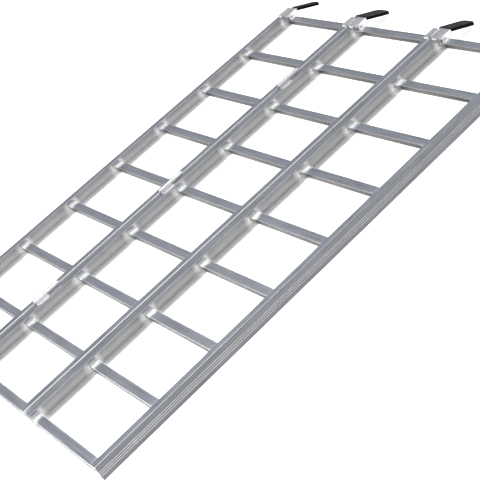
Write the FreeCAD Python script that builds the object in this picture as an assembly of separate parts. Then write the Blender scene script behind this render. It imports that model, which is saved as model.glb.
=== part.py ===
"""Three-panel folding aluminium loading ramp.  Millimetres.

X runs across the ramp, Y along it from the ground end (-Y) to the hook end (+Y), Z up.
The drawing is made with the rail undersides at Z = 0 and is moved at the very end so that
the origin is the bottom centre of the whole object.
"""
import FreeCAD, Part
import math
import os

os.makedirs("parts", exist_ok=True)

# ---------------------------------------------------------------- driving dimensions
PANEL_W = 447.8        # outside width of one panel
SEAM_GAP = 14.1        # open gap between neighbouring panels
RUNG_PITCH = 243.3     # rung to rung
RUNG_COUNT = 9         # rungs in each panel
RUNG_W = 34.0          # rung tube, along the ramp
RUNG_Z0, RUNG_Z1 = 19.0, 35.0  # rung tube underside and top plate
RUNG_WALL = 2.5
TOOTH_H = 2.0          # anti-slip teeth above the top plate
TOOTH_T = 3.0          # thickness of a tooth row
TOOTH_PITCH = 13.0

RAIL_H = 57.0          # side rail channel
FLANGE_TOP = 24.0
FLANGE_BOTTOM = 30.0
RAIL_WALL = 3.0
RAIL_ROUND = 2.0       # outer corner radius
RAIL_OVERRUN = 14.0    # rail past the last rung, hook end
GROOVE_DEPTHS = (23.2, 31.0, 39.0)   # groove lines on the outer face, below the rail top
GROOVE_W, GROOVE_D = 1.4, 0.8

HOOK_T = 6.0           # hook plate thickness
HOOK_BASE = 56.0       # plate length lying on the rail
HOOK_DROP = 24.0       # bend below level; keeps the tips above the lower hinge axis
HOOK_RUN = 113.0       # length along the ramp of the sloping leg
SEAT_EDGE = 44.0       # far edge of a hook seat from the outer face of its rail, at a seam
SEAT_EDGE_OUTER = 62.0 # the same on the outermost rails
SEAT_INSET_OUTER = 6.0
FINGER_OUTER = 30.0    # finger width on the outermost rails
FINGER_OVERHANG = 22.0 # a seam finger reaches this far over the gap, past its rail's outer face
END_PLATE_W = 26.0     # plain plate on the neighbouring rail end
CHEEK_T, CHEEK_LEN = 4.0, 42.0   # folded-down side of a wide hook
DIP_T = 3.0            # soft coating on every side of a hook tip
DIP_START = 5.0        # bare metal left between the bend and the coating
TIP_ROUND = 15.0

HINGE_STATIONS = (-619.0, -12.0, 612.0)  # middle of each hinge along the ramp
KNUCKLE_LEN = 53.0
KNUCKLE_GAP = 1.0
BARREL_R = 8.0
BORE_R = 3.05
PIN_R = 3.0
PIN_HEAD_R, PIN_HEAD_T = 5.5, 3.0
AXIS_OFFSET = 7.0      # hinge axis beyond the rail face
LEAF_W, LEAF_T = 18.0, 3.0
CLEAR = 0.5            # running gap between parts of different panels

# ---------------------------------------------------------------- derived positions
WIDTH = 3 * PANEL_W + 2 * SEAM_GAP
LENGTH = (RUNG_COUNT - 1) * RUNG_PITCH + RUNG_W
Y_FOOT = -LENGTH / 2
Y_HEAD = LENGTH / 2 + RAIL_OVERRUN
PANELS = ("left", "centre", "right")
X_LEFT = {p: -WIDTH / 2 + i * (PANEL_W + SEAM_GAP) for i, p in enumerate(PANELS)}
X_RIGHT = {p: X_LEFT[p] + PANEL_W for p in PANELS}
SEAM_LEFT = X_RIGHT["left"] + SEAM_GAP / 2
SEAM_RIGHT = X_RIGHT["centre"] + SEAM_GAP / 2

V = FreeCAD.Vector


# ---------------------------------------------------------------- small helpers
def block(x0, x1, y0, y1, z0, z1):
    """Axis-aligned block between two corners."""
    return Part.makeBox(x1 - x0, y1 - y0, z1 - z0, V(x0, y0, z0))


def prism(points, direction):
    """Closed polygon swept along a vector."""
    return Part.Face(Part.makePolygon(points + [points[0]])).extrude(direction)


def rod(radius, y0, y1, x, z):
    """Round bar along the ramp."""
    return Part.makeCylinder(radius, y1 - y0, V(x, y0, z), V(0, 1, 0))


def offset_line(points, distance):
    """Open (y, z) line moved sideways with mitred corners; positive is to the left of travel."""
    normals = []
    for a, b in zip(points, points[1:]):
        run = math.hypot(b[0] - a[0], b[1] - a[1])
        normals.append((-(b[1] - a[1]) / run, (b[0] - a[0]) / run))
    moved = []
    for i, p in enumerate(points):
        before, after = normals[max(i - 1, 0)], normals[min(i, len(normals) - 1)]
        scale = distance / (1 + before[0] * after[0] + before[1] * after[1])
        moved.append((p[0] + (before[0] + after[0]) * scale, p[1] + (before[1] + after[1]) * scale))
    return moved


def strip(upper, lower, x0, x1):
    """Bent plate between an upper and a lower (y, z) line."""
    return prism([V(x0, y, z) for y, z in upper + lower[::-1]], V(x1 - x0, 0, 0))


def rounded_plan(x0, x1, y0, y1, radius):
    """Tall column whose two +Y corners are rounded, used to trim a plate in plan."""
    r = min(radius, (x1 - x0) / 2 - 0.5)
    shape = block(x0, x1, y0, y1, -300, 300)
    corners = [e for e in shape.Edges
               if abs(e.Vertexes[0].Point.z - e.Vertexes[-1].Point.z) > 500
               and e.Vertexes[0].Point.y > y1 - 0.01]
    return shape.makeFillet(r, corners)


# ---------------------------------------------------------------- rails
def rail(x_face, inward):
    """C channel with its outer face at x_face; inward is +1 or -1."""
    outline = [(0, 0), (FLANGE_BOTTOM, 0), (FLANGE_BOTTOM, RAIL_WALL), (RAIL_WALL, RAIL_WALL),
               (RAIL_WALL, RAIL_H - RAIL_WALL), (FLANGE_TOP, RAIL_H - RAIL_WALL),
               (FLANGE_TOP, RAIL_H), (0, RAIL_H)]
    for depth in GROOVE_DEPTHS:
        z = RAIL_H - depth
        outline += [(0, z + GROOVE_W / 2), (GROOVE_D, z), (0, z - GROOVE_W / 2)]
    points = [V(x_face + inward * x, Y_FOOT, z) for x, z in outline]
    shape = prism(points, V(0, Y_HEAD - Y_FOOT, 0))
    corners = [e for e in shape.Edges
               if e.Length > 1000 and abs(e.Vertexes[0].Point.x - x_face) < 0.01
               and (e.Vertexes[0].Point.z < 0.01 or e.Vertexes[0].Point.z > RAIL_H - 0.01)]
    return shape.makeFillet(RAIL_ROUND, corners)


# ---------------------------------------------------------------- rungs
def rung(panel, index):
    """Rectangular tube between the two webs, with a toothed ridge along both top edges."""
    x0, x1 = X_LEFT[panel] + RAIL_WALL, X_RIGHT[panel] - RAIL_WALL
    y0 = Y_FOOT + index * RUNG_PITCH
    y1 = y0 + RUNG_W
    shape = block(x0, x1, y0, y1, RUNG_Z0, RUNG_Z1)
    w = RUNG_WALL
    shape = shape.cut(block(x0 - 1, x1 + 1, y0 + w, y1 - w, RUNG_Z0 + w, RUNG_Z1 - w))
    count = int((x1 - x0 - 2 * FLANGE_TOP) / TOOTH_PITCH)
    start = (x0 + x1 - count * TOOTH_PITCH) / 2
    line = [V(start, 0, RUNG_Z1 - 0.5), V(start, 0, RUNG_Z1)]
    for i in range(count):
        line.append(V(start + (i + 0.5) * TOOTH_PITCH, 0, RUNG_Z1 + TOOTH_H))
        line.append(V(start + (i + 1) * TOOTH_PITCH, 0, RUNG_Z1 + 0.3))
    line.append(V(start + count * TOOTH_PITCH, 0, RUNG_Z1 - 0.5))
    for y in (y0, y1 - TOOTH_T):
        ridge = prism([p + V(0, y, 0) for p in line], V(0, TOOTH_T, 0))
        shape = shape.fuse(ridge)
    return shape.removeSplitter()


# ---------------------------------------------------------------- hooks
SLOPE = math.tan(math.radians(HOOK_DROP))
Y_BEND = Y_HEAD + CLEAR + HOOK_T * math.tan(math.radians(HOOK_DROP / 2))
Y_TIP = Y_BEND + HOOK_RUN
TOP_LINE = [(Y_HEAD - HOOK_BASE, RAIL_H + HOOK_T), (Y_BEND, RAIL_H + HOOK_T),
            (Y_TIP, RAIL_H + HOOK_T - HOOK_RUN * SLOPE)]


def hook_plate(seat, finger, cheek_x=None):
    """Bent plate: its seat (x0, x1) lies on the rail, its finger (x0, x1) hangs over the tailgate.
    cheek_x is the low side of the folded-down cheek that stands on the last rung."""
    plate = strip(TOP_LINE, offset_line(TOP_LINE, -HOOK_T),
                  min(seat[0], finger[0]), max(seat[1], finger[1]))
    split = Y_HEAD + CLEAR
    plan = rounded_plan(finger[0], finger[1], split, Y_TIP - 1.0, TIP_ROUND)
    plan = plan.fuse(block(seat[0], seat[1], TOP_LINE[0][0] - 1, split + 2, -300, 300))
    plate = plate.common(plan.removeSplitter()).removeSplitter()
    if cheek_x is not None:
        cheek = block(cheek_x, cheek_x + CHEEK_T, Y_HEAD - CHEEK_LEN, Y_HEAD,
                      RUNG_Z1 + TOOTH_H, RAIL_H + 1)
        plate = plate.fuse(cheek).removeSplitter()
    return plate


def end_plate(x0, x1):
    """Plain plate welded on a rail end beside a hook."""
    shape = block(x0, x1, Y_HEAD - HOOK_BASE, Y_HEAD - 0.5, RAIL_H, RAIL_H + HOOK_T)
    edges = [e for e in shape.Edges if abs(e.Vertexes[0].Point.z - e.Vertexes[-1].Point.z) > 1]
    return shape.makeFillet(2.5, edges)


def hook_tip(finger):
    """Soft black coating around the sloping part of a hook, hollow where the plate sits."""
    start = (Y_BEND + DIP_START, RAIL_H + HOOK_T - DIP_START * SLOPE)
    stop = (Y_TIP + 6, RAIL_H + HOOK_T - (HOOK_RUN + 6) * SLOPE)
    core = [start, stop]
    x0, x1 = finger[0] - DIP_T, finger[1] + DIP_T
    shape = strip(offset_line(core, DIP_T), offset_line(core, -HOOK_T - DIP_T), x0, x1)
    plan = rounded_plan(x0, x1, Y_HEAD - 20, Y_TIP + DIP_T, TIP_ROUND + DIP_T)
    shape = plan.common(shape).removeSplitter()
    return shape.cut(hook_plate(finger, finger)).removeSplitter()


# ---------------------------------------------------------------- hinges
def knuckle(seam, station, side, near, top):
    """One barrel half with its leaf.  side is the panel it is welded to (-1 left, +1 right),
    near is True for the half towards the ground end, top is True for hinges above the rails."""
    half = KNUCKLE_GAP / 2
    y0 = station - half - KNUCKLE_LEN if near else station + half
    y1 = y0 + KNUCKLE_LEN
    face = RAIL_H if top else 0.0
    out = 1 if top else -1
    z = face + out * AXIS_OFFSET
    barrel = rod(BARREL_R, y0, y1, seam, z)
    inner = seam + side * (BARREL_R - 4)
    outer = seam + side * (SEAM_GAP / 2 + LEAF_W)
    z0, z1 = sorted((face, face + out * LEAF_T))
    leaf = block(min(inner, outer), max(inner, outer), y0, y1, z0, z1)
    shape = barrel.fuse(leaf).removeSplitter()
    return shape.cut(rod(BORE_R, y0 - 1, y1 + 1, seam, z))


def pin(seam, station, top):
    """Headed pin through both halves of a hinge."""
    z = RAIL_H + AXIS_OFFSET if top else -AXIS_OFFSET
    reach = KNUCKLE_LEN + KNUCKLE_GAP / 2 + 0.2
    shape = rod(PIN_R, station - reach, station + reach, seam, z)
    for y in (station - reach - PIN_HEAD_T, station + reach):
        shape = shape.fuse(rod(PIN_HEAD_R, y, y + PIN_HEAD_T, seam, z))
    return shape.removeSplitter()


# ---------------------------------------------------------------- the whole ramp
nodes = {
    "left_rail_outer": rail(X_LEFT["left"], 1),
    "left_rail_inner": rail(X_RIGHT["left"], -1),
    "centre_rail_left": rail(X_LEFT["centre"], 1),
    "centre_rail_right": rail(X_RIGHT["centre"], -1),
    "right_rail_inner": rail(X_LEFT["right"], 1),
    "right_rail_outer": rail(X_RIGHT["right"], -1),
}
for name in PANELS:
    for number in range(RUNG_COUNT):
        nodes["%s_rung_%d" % (name, number + 1)] = rung(name, number)

# one hook on the left rail of each panel, one on the outermost right rail, and a plain plate
# on each rail end that faces a hook across a seam
seats = {
    "left": (X_LEFT["left"] + SEAT_INSET_OUTER, X_LEFT["left"] + SEAT_EDGE_OUTER),
    "centre": (X_LEFT["centre"], X_LEFT["centre"] + SEAT_EDGE),
    "right": (X_LEFT["right"], X_LEFT["right"] + SEAT_EDGE),
    "outer": (X_RIGHT["right"] - SEAT_EDGE_OUTER, X_RIGHT["right"] - SEAT_INSET_OUTER),
}
fingers = {
    "left": (seats["left"][1] - FINGER_OUTER, seats["left"][1]),
    "centre": (X_LEFT["centre"] - FINGER_OVERHANG, seats["centre"][1] - 2),
    "right": (X_LEFT["right"] - SEAM_GAP, seats["right"][1] - 2),
    "outer": (seats["outer"][0], seats["outer"][0] + FINGER_OUTER),
}
for name in ("left", "centre", "right", "outer"):
    cheek = seats[name][0] if name == "outer" else seats[name][1] - CHEEK_T
    nodes["hook_" + name] = hook_plate(seats[name], fingers[name], cheek)
    nodes["tip_" + name] = hook_tip(fingers[name])
for name in ("left", "centre"):
    nodes["end_plate_" + name] = end_plate(X_RIGHT[name] - END_PLATE_W, X_RIGHT[name])

for letter, y in zip("abc", HINGE_STATIONS):
    nodes["top_knuckle_centre_" + letter] = knuckle(SEAM_LEFT, y, 1, True, True)
    nodes["top_knuckle_left_" + letter] = knuckle(SEAM_LEFT, y, -1, False, True)
    nodes["under_knuckle_centre_" + letter] = knuckle(SEAM_RIGHT, y, -1, True, False)
    nodes["under_knuckle_right_" + letter] = knuckle(SEAM_RIGHT, y, 1, False, False)
nodes["top_pins"] = Part.makeCompound([pin(SEAM_LEFT, y, True) for y in HINGE_STATIONS])
nodes["under_pins"] = Part.makeCompound([pin(SEAM_RIGHT, y, False) for y in HINGE_STATIONS])

# origin to the bottom centre of the whole object
MOVE = V(0, -(Y_FOOT + Y_TIP + DIP_T) / 2, BARREL_R + AXIS_OFFSET)
for name, shape in nodes.items():
    shape.translate(MOVE)
    shape.exportStep("parts/%s.step" % name)
    box = shape.BoundBox
    print("%-24s solids %d valid %s  x %8.1f %8.1f  y %8.1f %8.1f  z %7.1f %7.1f" % (
        name, len(shape.Solids), shape.isValid(), box.XMin, box.XMax, box.YMin, box.YMax,
        box.ZMin, box.ZMax))
print("MOVE %.5f %.5f" % (MOVE.y, MOVE.z), "rail top", RAIL_H + MOVE.z, "rail bottom", MOVE.z)
low = offset_line(TOP_LINE, -HOOK_T - DIP_T)
print("finger underside points", [(round(y + MOVE.y, 2), round(z + MOVE.z, 2)) for y, z in low])
print("seams", SEAM_LEFT, SEAM_RIGHT, "foot", Y_FOOT + MOVE.y, "head", Y_HEAD + MOVE.y)
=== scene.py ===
import math
import random

import bmesh
import bpy
from mathutils import Matrix, Vector


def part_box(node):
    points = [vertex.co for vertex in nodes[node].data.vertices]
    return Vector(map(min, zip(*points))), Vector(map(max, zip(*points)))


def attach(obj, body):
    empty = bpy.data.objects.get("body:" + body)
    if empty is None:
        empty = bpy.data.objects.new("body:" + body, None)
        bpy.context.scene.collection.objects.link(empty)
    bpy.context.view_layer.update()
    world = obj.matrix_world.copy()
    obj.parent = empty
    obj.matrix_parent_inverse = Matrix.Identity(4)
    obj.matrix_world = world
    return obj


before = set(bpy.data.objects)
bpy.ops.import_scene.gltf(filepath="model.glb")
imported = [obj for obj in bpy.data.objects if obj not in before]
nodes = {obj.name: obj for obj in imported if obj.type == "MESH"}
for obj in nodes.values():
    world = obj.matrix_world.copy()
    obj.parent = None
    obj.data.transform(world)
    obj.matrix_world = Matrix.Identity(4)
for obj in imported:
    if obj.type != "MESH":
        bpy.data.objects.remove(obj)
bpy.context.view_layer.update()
random.seed(11)
scene = bpy.context.scene

PANELS = ("left", "centre", "right")
LEFT_RAIL = {"left": "left_rail_outer", "centre": "centre_rail_left", "right": "right_rail_inner"}
RIGHT_RAIL = {"left": "left_rail_inner", "centre": "centre_rail_right", "right": "right_rail_outer"}
lo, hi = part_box("centre_rail_left")
Z_FOOT, Z_TOP = lo[2], hi[2]
Y_FOOT, Y_HEAD = lo[1], hi[1]
RUNG_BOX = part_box("centre_rung_1")
RUNG_W = RUNG_BOX[1][1] - RUNG_BOX[0][1]
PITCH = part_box("centre_rung_2")[0][1] - RUNG_BOX[0][1]
FLANGE = 0.024                      # width of the top flange
GROOVE_DEPTHS = (0.0232, 0.031, 0.039)  # below the rail top, on the outer face
PLATE = 0.006                       # thickness of the hook plates
METALLIC = 0.92


# ------------------------------------------------------------------ material helpers
class Graph:
    """Short calls for building a node tree."""

    def __init__(self, name):
        self.mat = bpy.data.materials.new(name)
        self.mat.use_nodes = True
        self.tree = self.mat.node_tree
        self.bsdf = self.tree.nodes["Principled BSDF"]

    def new(self, kind, **settings):
        node = self.tree.nodes.new(kind)
        for key, value in settings.items():
            setattr(node, key, value)
        return node

    def link(self, a, b):
        self.tree.links.new(a, b)

    def put(self, socket, value):
        if hasattr(value, "is_output"):
            self.link(value, socket)
        else:
            socket.default_value = value

    def math(self, op, a, b=0.0, clamp=False):
        node = self.new("ShaderNodeMath", operation=op, use_clamp=clamp)
        self.put(node.inputs[0], a)
        self.put(node.inputs[1], b)
        return node.outputs[0]

    def mix(self, factor, a, b):
        node = self.new("ShaderNodeMix", data_type="RGBA")
        self.put(node.inputs[0], factor)
        for socket, value in ((node.inputs[6], a), (node.inputs[7], b)):
            self.put(socket, value if hasattr(value, "is_output") else (*value, 1.0))
        return node.outputs[2]

    def ramp(self, value, a, b, c=0.0, d=1.0):
        node = self.new("ShaderNodeMapRange", clamp=True)
        for socket, v in zip(node.inputs, (value, a, b, c, d)):
            self.put(socket, v)
        return node.outputs[0]

    def place(self, scale):
        coord = self.new("ShaderNodeTexCoord")
        node = self.new("ShaderNodeMapping")
        self.link(coord.outputs["Object"], node.inputs[0])
        node.inputs["Scale"].default_value = scale
        return node.outputs[0]

    def noise(self, scale, detail=4.0, rough=0.55, distortion=0.0):
        node = self.new("ShaderNodeTexNoise")
        self.link(self.place(scale), node.inputs["Vector"])
        node.inputs["Scale"].default_value = 1.0
        node.inputs["Detail"].default_value = detail
        node.inputs["Roughness"].default_value = rough
        node.inputs["Distortion"].default_value = distortion
        return node.outputs["Fac"]

    def bump(self, height, strength, distance):
        node = self.new("ShaderNodeBump")
        node.inputs["Strength"].default_value = strength
        node.inputs["Distance"].default_value = distance
        self.link(height, node.inputs["Height"])
        self.link(node.outputs[0], self.bsdf.inputs["Normal"])

    def axes(self, coordinate):
        """X, Y and Z of one kind of texture coordinate. "Object" and "Normal" are in the
        object's own axes, so they turn with a folded panel."""
        coord = self.new("ShaderNodeTexCoord")
        node = self.new("ShaderNodeSeparateXYZ")
        self.link(coord.outputs[coordinate], node.inputs[0])
        return node.outputs


def edge_mask(g, radius):
    """One along worn outer edges, zero on the flats."""
    bevel = g.new("ShaderNodeBevel", samples=4)
    bevel.inputs["Radius"].default_value = radius
    geometry = g.new("ShaderNodeNewGeometry")
    dot = g.new("ShaderNodeVectorMath", operation="DOT_PRODUCT")
    g.link(bevel.outputs[0], dot.inputs[0])
    g.link(geometry.outputs["True Normal"], dot.inputs[1])
    return g.ramp(g.math("SUBTRACT", 1.0, dot.outputs["Value"]), 0.02, 0.16)


def rail_faces(g, colour, rough, streak, smut, rail_side, painted_face_shade, seam):
    """Finish of a channel's inner web, outer face and lower flange, much of its colour painted light and
    shade beside the real heat bloom of the welds.
    """
    normal = g.axes("Normal")
    position = g.axes("Object")
    inner = g.ramp(g.math("MULTIPLY", normal[0], float(rail_side)), 0.5, 0.8)
    outer = g.ramp(g.math("MULTIPLY", normal[0], -float(rail_side)), 0.5, 0.8)
    # inner web: painted shade, a darker tint of its own, and painted light, paler towards the bottom
    streaky = g.ramp(streak, 0.3, 0.7, 0.70, 0.92)
    colour = g.mix(g.math("MULTIPLY", inner, streaky), colour, (0.225, 0.219, 0.215))
    low_web_painted_light = g.math("MULTIPLY", inner, g.ramp(position[2], Z_FOOT + 0.034, Z_FOOT + 0.014))
    colour = g.mix(g.math("MULTIPLY", low_web_painted_light, 0.8), colour, (0.52, 0.512, 0.505))
    # outer face: painted shade, darkened in a tint of its own
    colour = g.mix(g.math("MULTIPLY", outer, g.math("MULTIPLY", streaky, 0.95)), colour, painted_face_shade)
    rough = g.math("ADD", rough, g.math("MULTIPLY", inner, 0.18))
    if seam:
        rough = g.math("ADD", rough, g.math("MULTIPLY", outer, 0.25))
        # painted highlight: the strip above the grooves, which shows in the open seam, is painted near
        # white
        seam_painted_highlight = g.math("MULTIPLY", outer, g.ramp(position[2], Z_TOP - 0.021, Z_TOP - 0.016))
        colour = g.mix(seam_painted_highlight, colour, (0.92, 0.91, 0.895))
    # painted highlight along the lips of the three fine grooves
    for depth in GROOVE_DEPTHS:
        gap = g.math("ABSOLUTE", g.math("SUBTRACT", position[2], Z_TOP - depth))
        lip_painted_highlight = g.math("MULTIPLY", g.ramp(gap, 0.0018, 0.0007), outer)
        colour = g.mix(g.math("MULTIPLY", lip_painted_highlight, 0.9), colour, (0.32, 0.317, 0.313))
    # painted reflection: the up face of the lower flange is painted much brighter than the top one, and
    # made rougher, satin
    up = g.ramp(normal[2], 0.5, 0.8)
    low = g.ramp(position[2], Z_FOOT + 0.009, Z_FOOT + 0.006)
    shelf = g.math("MULTIPLY", up, low)
    colour = g.mix(g.math("MULTIPLY", shelf, 0.85), colour, (0.66, 0.66, 0.655))
    rough = g.math("ADD", rough, g.math("MULTIPLY", shelf, 0.15))
    # heat bloom round each rung joint
    turn = g.math("DIVIDE", g.math("SUBTRACT", position[1], Y_FOOT + RUNG_W / 2), PITCH)
    off = g.math("ABSOLUTE", g.math("SUBTRACT", turn, g.math("ROUND", turn)))
    wobble = g.math("MULTIPLY", g.math("SUBTRACT", smut, 0.5), 0.10)
    near = g.ramp(g.math("ADD", off, wobble), 0.16, 0.07)
    below = g.ramp(position[2], Z_TOP - 0.004, Z_TOP - 0.024)
    face = g.math("MAXIMUM", inner, shelf)
    bloom = g.math("MULTIPLY", g.math("MULTIPLY", near, face), below)
    colour = g.mix(g.math("MULTIPLY", bloom, 0.9), colour, (0.96, 0.95, 0.93))
    rough = g.math("ADD", rough, g.math("MULTIPLY", bloom, 0.15))
    # how far each face is from bare metal: chalky oxide in the heat bloom, and duller metal under the
    # painted light of the shelf, inner web and seam face
    less_metallic = g.math("MULTIPLY", bloom, 0.3)
    less_metallic = g.math("MAXIMUM", less_metallic, g.math("MULTIPLY", shelf, 0.52))
    less_metallic = g.math("MAXIMUM", less_metallic, g.math("MULTIPLY", inner, 0.36))
    if seam:
        less_metallic = g.math("MAXIMUM", less_metallic, g.math("MULTIPLY", outer, 0.32))
    return colour, rough, less_metallic


def rung_faces(g, colour, rough, smut):
    """Painted shade on the front face, deepening towards the right end, and the heat bloom by the welds
    at both ends of a rung.
    """
    normal = g.axes("Normal")
    across = g.axes("Generated")[0]
    # painted shade: dark front face, with a painted shadow deepening towards the right end
    front = g.ramp(g.math("MULTIPLY", normal[1], -1.0), 0.5, 0.8)
    colour = g.mix(g.math("MULTIPLY", front, 0.90), colour, (0.095, 0.083, 0.070))
    shade = g.math("MULTIPLY", front, g.ramp(across, 0.30, 0.95, 0.0, 0.75))
    colour = g.mix(shade, colour, (0.018, 0.016, 0.014))
    length = RUNG_BOX[1][0] - RUNG_BOX[0][0]
    ragged = g.math("MULTIPLY", g.math("SUBTRACT", smut, 0.5), 0.05)
    from_left = g.math("ADD", g.math("MULTIPLY", across, length), ragged)
    from_right = g.math("ADD", g.math("MULTIPLY", g.math("SUBTRACT", 1.0, across), length), ragged)
    bloom = g.math("MAXIMUM", g.ramp(from_left, 0.052, 0.030),
                   g.math("MULTIPLY", g.ramp(from_right, 0.060, 0.028), 0.70))
    bloom = g.math("MULTIPLY", bloom, g.ramp(normal[2], -0.2, 0.2))
    colour = g.mix(g.math("MULTIPLY", bloom, 0.92), colour, (0.97, 0.965, 0.95))
    rough = g.math("ADD", rough, g.math("MULTIPLY", bloom, 0.2))
    return colour, rough, g.math("MULTIPLY", bloom, 0.6)


def aluminium(name, grain, tint, dull=0.0, rail_side=0, rung=False,
              painted_face_shade=(0.060, 0.0586, 0.0572), seam=False):
    """Mill-finish aluminium, with painted light and shade on the faces of rails and rungs. grain is the
    axis of the drawing lines; rail_side says which way a channel opens (+1 right, -1 left), so the heat
    bloom of the welds falls on its inner faces and the painted face tints on inner and outer faces."""
    g = Graph(name)
    b = g.bsdf
    along = {"x": (3.0, 900.0, 900.0), "y": (900.0, 3.0, 900.0)}[grain]
    soft = {"x": (6.0, 160.0, 160.0), "y": (160.0, 6.0, 160.0)}[grain]
    fine = g.noise(along, 3.0, 0.6)
    streak = g.noise(soft, 4.0, 0.55)
    cloud = g.noise((9.0, 9.0, 9.0), 5.0, 0.6, 0.4)
    smut = g.noise((38.0, 38.0, 38.0), 6.0, 0.65, 0.8)
    dark = tuple(c * 0.78 for c in tint)
    light = tuple(min(1.0, c * 1.16) for c in tint)
    colour = g.mix(g.ramp(streak, 0.30, 0.70), dark, light)
    colour = g.mix(g.ramp(fine, 0.35, 0.68, 0.0, 0.35), colour, tuple(c * 1.22 for c in tint))
    colour = g.mix(g.ramp(cloud, 0.42, 0.72, 0.0, 0.30), colour, tuple(c * 0.80 for c in tint))
    colour = g.mix(g.ramp(smut, 0.60, 0.78, 0.0, 0.25), colour, (0.30, 0.30, 0.31))
    rough = g.math("ADD", g.ramp(cloud, 0.3, 0.7, 0.30 + dull, 0.44 + dull),
                   g.ramp(streak, 0.3, 0.7, -0.04, 0.05))
    less_metallic = None
    if rail_side:
        colour, rough, less_metallic = rail_faces(g, colour, rough, streak, smut, rail_side, painted_face_shade, seam)
    if rung:
        colour, rough, less_metallic = rung_faces(g, colour, rough, smut)
    if less_metallic is None:
        b.inputs["Metallic"].default_value = METALLIC
    else:
        # less metallic where the welding heat left a chalky white oxide, and on the faces with painted
        # light
        g.link(g.math("SUBTRACT", METALLIC, less_metallic, True), b.inputs["Metallic"])
    worn = edge_mask(g, 0.0012)
    colour = g.mix(g.math("MULTIPLY", worn, 0.7), colour, (0.93, 0.93, 0.93))
    rough = g.math("SUBTRACT", rough, g.math("MULTIPLY", worn, 0.08), True)
    g.link(colour, b.inputs["Base Color"])
    g.link(rough, b.inputs["Roughness"])
    height = g.math("ADD", g.math("MULTIPLY", fine, 0.6), g.math("MULTIPLY", smut, 0.4))
    g.bump(height, 0.25, 0.0004)
    return g.mat


def weld_metal():
    g = Graph("weld_bead")
    b = g.bsdf
    ripple = g.noise((420.0, 420.0, 420.0), 3.0, 0.6)
    soot = g.noise((90.0, 90.0, 90.0), 5.0, 0.7, 0.5)
    colour = g.mix(g.ramp(soot, 0.35, 0.75), (0.96, 0.955, 0.945), (0.74, 0.73, 0.72))
    colour = g.mix(g.ramp(soot, 0.68, 0.80, 0.0, 0.5), colour, (0.22, 0.20, 0.19))
    g.link(colour, b.inputs["Base Color"])
    g.link(g.ramp(ripple, 0.3, 0.7, 0.38, 0.60), b.inputs["Roughness"])
    b.inputs["Metallic"].default_value = 0.35
    g.bump(ripple, 0.4, 0.0006)
    return g.mat


def black_dip():
    g = Graph("black_vinyl_dip")
    b = g.bsdf
    skin = g.noise((520.0, 520.0, 520.0), 3.0, 0.5)
    flow = g.noise((22.0, 14.0, 22.0), 4.0, 0.55, 0.6)
    dust = g.noise((70.0, 40.0, 70.0), 6.0, 0.7, 0.3)
    colour = g.mix(g.ramp(flow, 0.3, 0.7), (0.0015, 0.0018, 0.0025), (0.004, 0.0046, 0.006))
    colour = g.mix(g.ramp(dust, 0.58, 0.8, 0.0, 0.22), colour, (0.012, 0.013, 0.016))
    worn = edge_mask(g, 0.0025)
    colour = g.mix(g.math("MULTIPLY", worn, 0.35), colour, (0.016, 0.018, 0.022))
    g.link(colour, b.inputs["Base Color"])
    g.link(g.ramp(dust, 0.3, 0.75, 0.34, 0.60), b.inputs["Roughness"])
    b.inputs["Metallic"].default_value = 0.0
    b.inputs["IOR"].default_value = 1.45
    b.inputs["Specular IOR Level"].default_value = 0.02
    g.bump(g.math("ADD", g.math("MULTIPLY", skin, 0.4), flow), 0.12, 0.0004)
    return g.mat


def pin_steel():
    g = Graph("plated_pin")
    b = g.bsdf
    spin = g.noise((700.0, 60.0, 700.0), 3.0, 0.6)
    spot = g.noise((150.0, 150.0, 150.0), 5.0, 0.7)
    colour = g.mix(g.ramp(spin, 0.3, 0.7), (0.52, 0.52, 0.53), (0.70, 0.70, 0.71))
    colour = g.mix(g.ramp(spot, 0.62, 0.8, 0.0, 0.6), colour, (0.30, 0.27, 0.24))
    g.link(colour, b.inputs["Base Color"])
    g.link(g.ramp(spot, 0.3, 0.8, 0.28, 0.5), b.inputs["Roughness"])
    b.inputs["Metallic"].default_value = 1.0
    g.bump(spin, 0.2, 0.0003)
    return g.mat


RAIL_TINT = (0.405, 0.42, 0.46)
MATS = {
    "rail_l": aluminium("rail_open_right", "y", RAIL_TINT, rail_side=1, painted_face_shade=(0.24, 0.237, 0.232)),
    "rail_r": aluminium("rail_open_left", "y", RAIL_TINT, rail_side=-1),
    "rail_s": aluminium("rail_at_seam", "y", RAIL_TINT, rail_side=-1,
                        painted_face_shade=(0.27, 0.267, 0.262), seam=True),
    "rung": aluminium("rung_metal", "x", (0.43, 0.443, 0.478), rung=True),
    "hook": aluminium("hook_metal", "y", (0.68, 0.68, 0.68), dull=0.04),
    "hinge": aluminium("hinge_metal", "y", (0.68, 0.68, 0.68), dull=-0.02),
    "pin": pin_steel(),
    "dip": black_dip(),
    "weld": weld_metal(),
}


def dress(node, mat):
    """Give a CAD node one material."""
    obj = nodes[node]
    obj.data.materials.clear()
    obj.data.materials.append(mat)


for name in nodes:
    if name in LEFT_RAIL.values():
        dress(name, MATS["rail_l"])
    elif name == RIGHT_RAIL["right"]:
        dress(name, MATS["rail_r"])
    elif name in RIGHT_RAIL.values():
        dress(name, MATS["rail_s"])
    elif "rung" in name:
        dress(name, MATS["rung"])
    elif name.startswith(("hook_", "end_plate")):
        dress(name, MATS["hook"])
    elif name.startswith("tip_"):
        dress(name, MATS["dip"])
    elif "pins" in name:
        dress(name, MATS["pin"])
    else:
        dress(name, MATS["hinge"])


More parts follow.
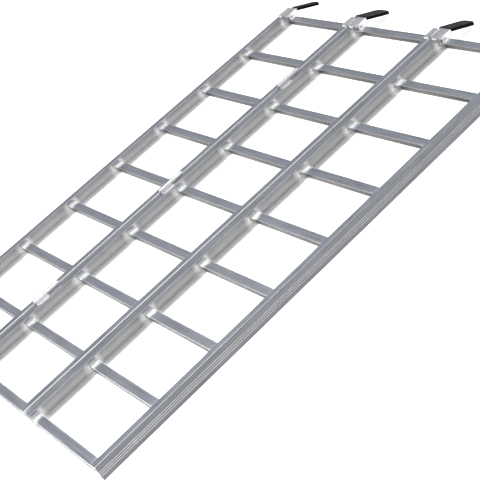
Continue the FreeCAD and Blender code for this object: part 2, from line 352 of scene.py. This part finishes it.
# ------------------------------------------------------------------ weld beads
def bead(bm, start, end, radius, wander=0.12, step=0.0028):
    """Row of overlapping weld ripples from start to end."""
    start, end = Vector(start), Vector(end)
    run = end - start
    length = run.length
    axis = run.normalized()
    side = axis.orthogonal().normalized()
    other = axis.cross(side)
    count = max(3, int(length / step))
    rings = []
    for i in range(count * 3 + 1):
        t = i / (count * 3)
        ripple = 0.80 + 0.20 * abs(math.sin(math.pi * count * t))
        taper = min(1.0, 0.35 + 6.0 * min(t, 1.0 - t))
        r = radius * ripple * taper * random.uniform(1 - wander, 1 + wander)
        centre = start + run * t
        centre += side * random.uniform(-0.1, 0.1) * radius + other * random.uniform(-0.1, 0.1) * radius
        rings.append([bm.verts.new(centre + (side * math.cos(a) + other * math.sin(a)) * r)
                      for a in (k * math.tau / 8 for k in range(8))])
    for one, two in zip(rings, rings[1:]):
        for k in range(8):
            bm.faces.new((one[k], one[(k + 1) % 8], two[(k + 1) % 8], two[k]))
    bm.faces.new(rings[0][::-1])
    bm.faces.new(rings[-1])


def finish_mesh(bm, name, mat, body):
    bmesh.ops.recalc_face_normals(bm, faces=bm.faces)
    mesh = bpy.data.meshes.new(name)
    bm.to_mesh(mesh)
    bm.free()
    for poly in mesh.polygons:
        poly.use_smooth = True
    obj = bpy.data.objects.new(name, mesh)
    scene.collection.objects.link(obj)
    mesh.materials.append(mat)
    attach(obj, body)
    return obj


for panel in PANELS:
    bm = bmesh.new()
    for number in range(1, 10):
        (x0, y0, z0), (x1, y1, z1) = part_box("%s_rung_%d" % (panel, number))
        top = z1 - 0.0045
        for x, inward in ((x0, 1), (x1, -1)):
            xi = x + inward * 0.0024
            bead(bm, (xi, y0, z0 + 0.001), (xi, y0, top + 0.003), 0.0042)
            bead(bm, (xi, y1, z0 + 0.001), (xi, y1, top + 0.003), 0.0036)
            xo = x + inward * 0.0040
            bead(bm, (xo, y0 - 0.001, top + 0.002), (xo, y1 + 0.001, top + 0.002), 0.0050, 0.2)
    finish_mesh(bm, "rung_welds_" + panel, MATS["weld"], panel + "_panel")

WELDED_AT = {"left": ("hook_left", "end_plate_left"), "centre": ("hook_centre", "end_plate_centre"),
             "right": ("hook_right", "hook_outer")}
for panel, plates in WELDED_AT.items():
    bm = bmesh.new()
    rung_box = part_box("%s_rung_9" % panel)
    for plate in plates:
        (x0, y0, z0), (x1, y1, z1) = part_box(plate)
        opens_right = plate in ("hook_left", "hook_centre", "hook_right")
        inward = 1 if opens_right else -1
        rail_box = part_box((LEFT_RAIL if opens_right else RIGHT_RAIL)[panel])
        face = rail_box[0][0] if opens_right else rail_box[1][0]
        seat_out = face + inward * (PLATE if plate in ("hook_left", "hook_outer") else 0.0)
        edge = face + inward * FLANGE
        free = {"hook_left": x1, "hook_outer": x0, "hook_centre": x1, "hook_right": x1}.get(plate)
        bead(bm, (seat_out + inward * 0.002, y0, Z_TOP + 0.0012), (edge, y0, Z_TOP + 0.0012), 0.0036)
        bead(bm, (seat_out, y0 + 0.006, Z_TOP + 0.001), (seat_out, Y_HEAD - 0.008, Z_TOP + 0.001), 0.0024)
        bead(bm, (face + inward * 0.004, Y_HEAD + 0.0002, Z_TOP - 0.005),
             (edge, Y_HEAD + 0.0002, Z_TOP - 0.005), 0.0030)
        for k in range(3):
            px = seat_out + inward * random.uniform(0.005, 0.019)
            py = random.uniform(y0 + 0.006, Y_HEAD - 0.022)
            lean = inward * random.uniform(0.001, 0.008)
            bead(bm, (px, py, Z_TOP + 0.0040), (px + lean, py + 0.013, Z_TOP + 0.0040), 0.0021, 0.15)
        if free is not None:
            if plate in ("hook_centre", "hook_right"):
                free = face + inward * 0.044
            start = Y_HEAD - 0.041
            top = rung_box[1][2]
            bead(bm, (free, start, top + 0.001), (free, rung_box[1][1] - 0.001, top + 0.001), 0.0042)
            under = free - inward * 0.002
            bead(bm, (under, start, top), (under, start, Z_TOP - 0.001), 0.0030)
            bead(bm, (free, Y_HEAD - 0.0005, top), (free, Y_HEAD - 0.0005, Z_TOP), 0.0026)
            bead(bm, (edge, y0 + 0.004, Z_TOP + 0.0005), (edge, y0 + 0.022, Z_TOP + 0.0005), 0.0030)
    finish_mesh(bm, "hook_welds_" + panel, MATS["weld"], panel + "_panel")

for body, prefix in (("centre_panel", "top_knuckle_centre"), ("left_panel", "top_knuckle_left"),
                     ("centre_panel", "under_knuckle_centre"), ("right_panel", "under_knuckle_right")):
    bm = bmesh.new()
    for letter in "abc":
        (x0, y0, z0), (x1, y1, z1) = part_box("%s_%s" % (prefix, letter))
        top = prefix.startswith("top")
        leaf_right = prefix in ("top_knuckle_centre", "under_knuckle_right")
        x = x1 if leaf_right else x0
        root = x - 0.017 if leaf_right else x + 0.017
        z = Z_TOP if top else Z_FOOT
        out = 1 if top else -1
        bead(bm, (x, y0 + 0.002, z + out * 0.001), (x, y1 - 0.002, z + out * 0.0008), 0.0019)
        for y in (y0 + 0.0004, y1 - 0.0004):
            bead(bm, (root, y, z + out * 0.001), (x, y, z + out * 0.0008), 0.0015)
    finish_mesh(bm, "hinge_welds_" + prefix, MATS["weld"], body)

# ------------------------------------------------------------------ floor, light, camera
bm = bmesh.new()
corners = [bm.verts.new(p) for p in ((-30, -30, 0), (30, -30, 0), (30, 30, 0), (-30, 30, 0))]
bm.faces.new(corners)
mesh = bpy.data.meshes.new("floor")
bm.to_mesh(mesh)
bm.free()
floor = bpy.data.objects.new("floor", mesh)
scene.collection.objects.link(floor)
g = Graph("pale_floor")
tone = g.noise((1.3, 1.3, 1.3), 2.0)
g.link(g.mix(tone, (0.86, 0.86, 0.86), (0.88, 0.88, 0.88)), g.bsdf.inputs["Base Color"])
g.bsdf.inputs["Roughness"].default_value = 0.9
g.bsdf.inputs["Specular IOR Level"].default_value = 0.1
g.bsdf.inputs["Emission Color"].default_value = (1, 1, 1, 1)
g.bsdf.inputs["Emission Strength"].default_value = 0.75
mesh.materials.append(g.mat)

world = bpy.data.worlds.new("studio")
scene.world = world
world.use_nodes = True
wt = world.node_tree
back = wt.nodes["Background"]
coord = wt.nodes.new("ShaderNodeTexCoord")
sep = wt.nodes.new("ShaderNodeSeparateXYZ")
wt.links.new(coord.outputs["Generated"], sep.inputs[0])
ramp = wt.nodes.new("ShaderNodeValToRGB")
wt.links.new(sep.outputs[2], ramp.inputs[0])
ramp.color_ramp.elements[0].position = 0.0
ramp.color_ramp.elements[0].color = (0.62, 0.64, 0.68, 1)
ramp.color_ramp.elements[1].position = 1.0
ramp.color_ramp.elements[1].color = (1.0, 1.0, 1.0, 1)
mid = ramp.color_ramp.elements.new(0.55)
mid.color = (0.27, 0.29, 0.335, 1)
wt.links.new(ramp.outputs[0], back.inputs[0])
back.inputs[1].default_value = 1.0


def area(name, place, target, size, power, colour=(1, 1, 1)):
    data = bpy.data.lights.new(name, "AREA")
    data.shape = "SQUARE"
    data.size = size
    data.energy = power
    data.color = colour
    lamp = bpy.data.objects.new(name, data)
    scene.collection.objects.link(lamp)
    lamp.location = place
    lamp.rotation_euler = (Vector(target) - Vector(place)).to_track_quat("-Z", "Y").to_euler()
    return lamp


area("key_overhead", (0.6, -0.4, 5.0), (0, 0, 0), 5.0, 280)
area("fill_right", (5.2, -0.8, 2.0), (0, 0, 0), 4.5, 60, (1.0, 0.99, 0.975))

IMAGE_PX = 480
SENSOR_MM = 36.0
FOCAL_PX = 1233.99
AXIS_PX = (234.99, 238.85)          # where the optical axis meets the image
camera = bpy.data.objects.new("camera", bpy.data.cameras.new("camera"))
scene.collection.objects.link(camera)
forward = Vector((-0.79099, 0.31142, -0.52664)).normalized()
up = Vector((-0.22999, 0.64629, 0.72761))
right = forward.cross(up).normalized()
up = right.cross(forward).normalized()
place = Vector((3.4950, -1.44369, 2.1864))
camera.matrix_world = Matrix(((right.x, up.x, -forward.x, place.x), (right.y, up.y, -forward.y, place.y),
                              (right.z, up.z, -forward.z, place.z), (0, 0, 0, 1)))
camera.data.sensor_width = SENSOR_MM
camera.data.lens = FOCAL_PX / IMAGE_PX * SENSOR_MM
camera.data.shift_x = (IMAGE_PX / 2 - AXIS_PX[0]) / IMAGE_PX
camera.data.shift_y = -(IMAGE_PX / 2 - AXIS_PX[1]) / IMAGE_PX
camera.data.clip_end = 200
scene.camera = camera
scene.view_settings.view_transform = "Standard"
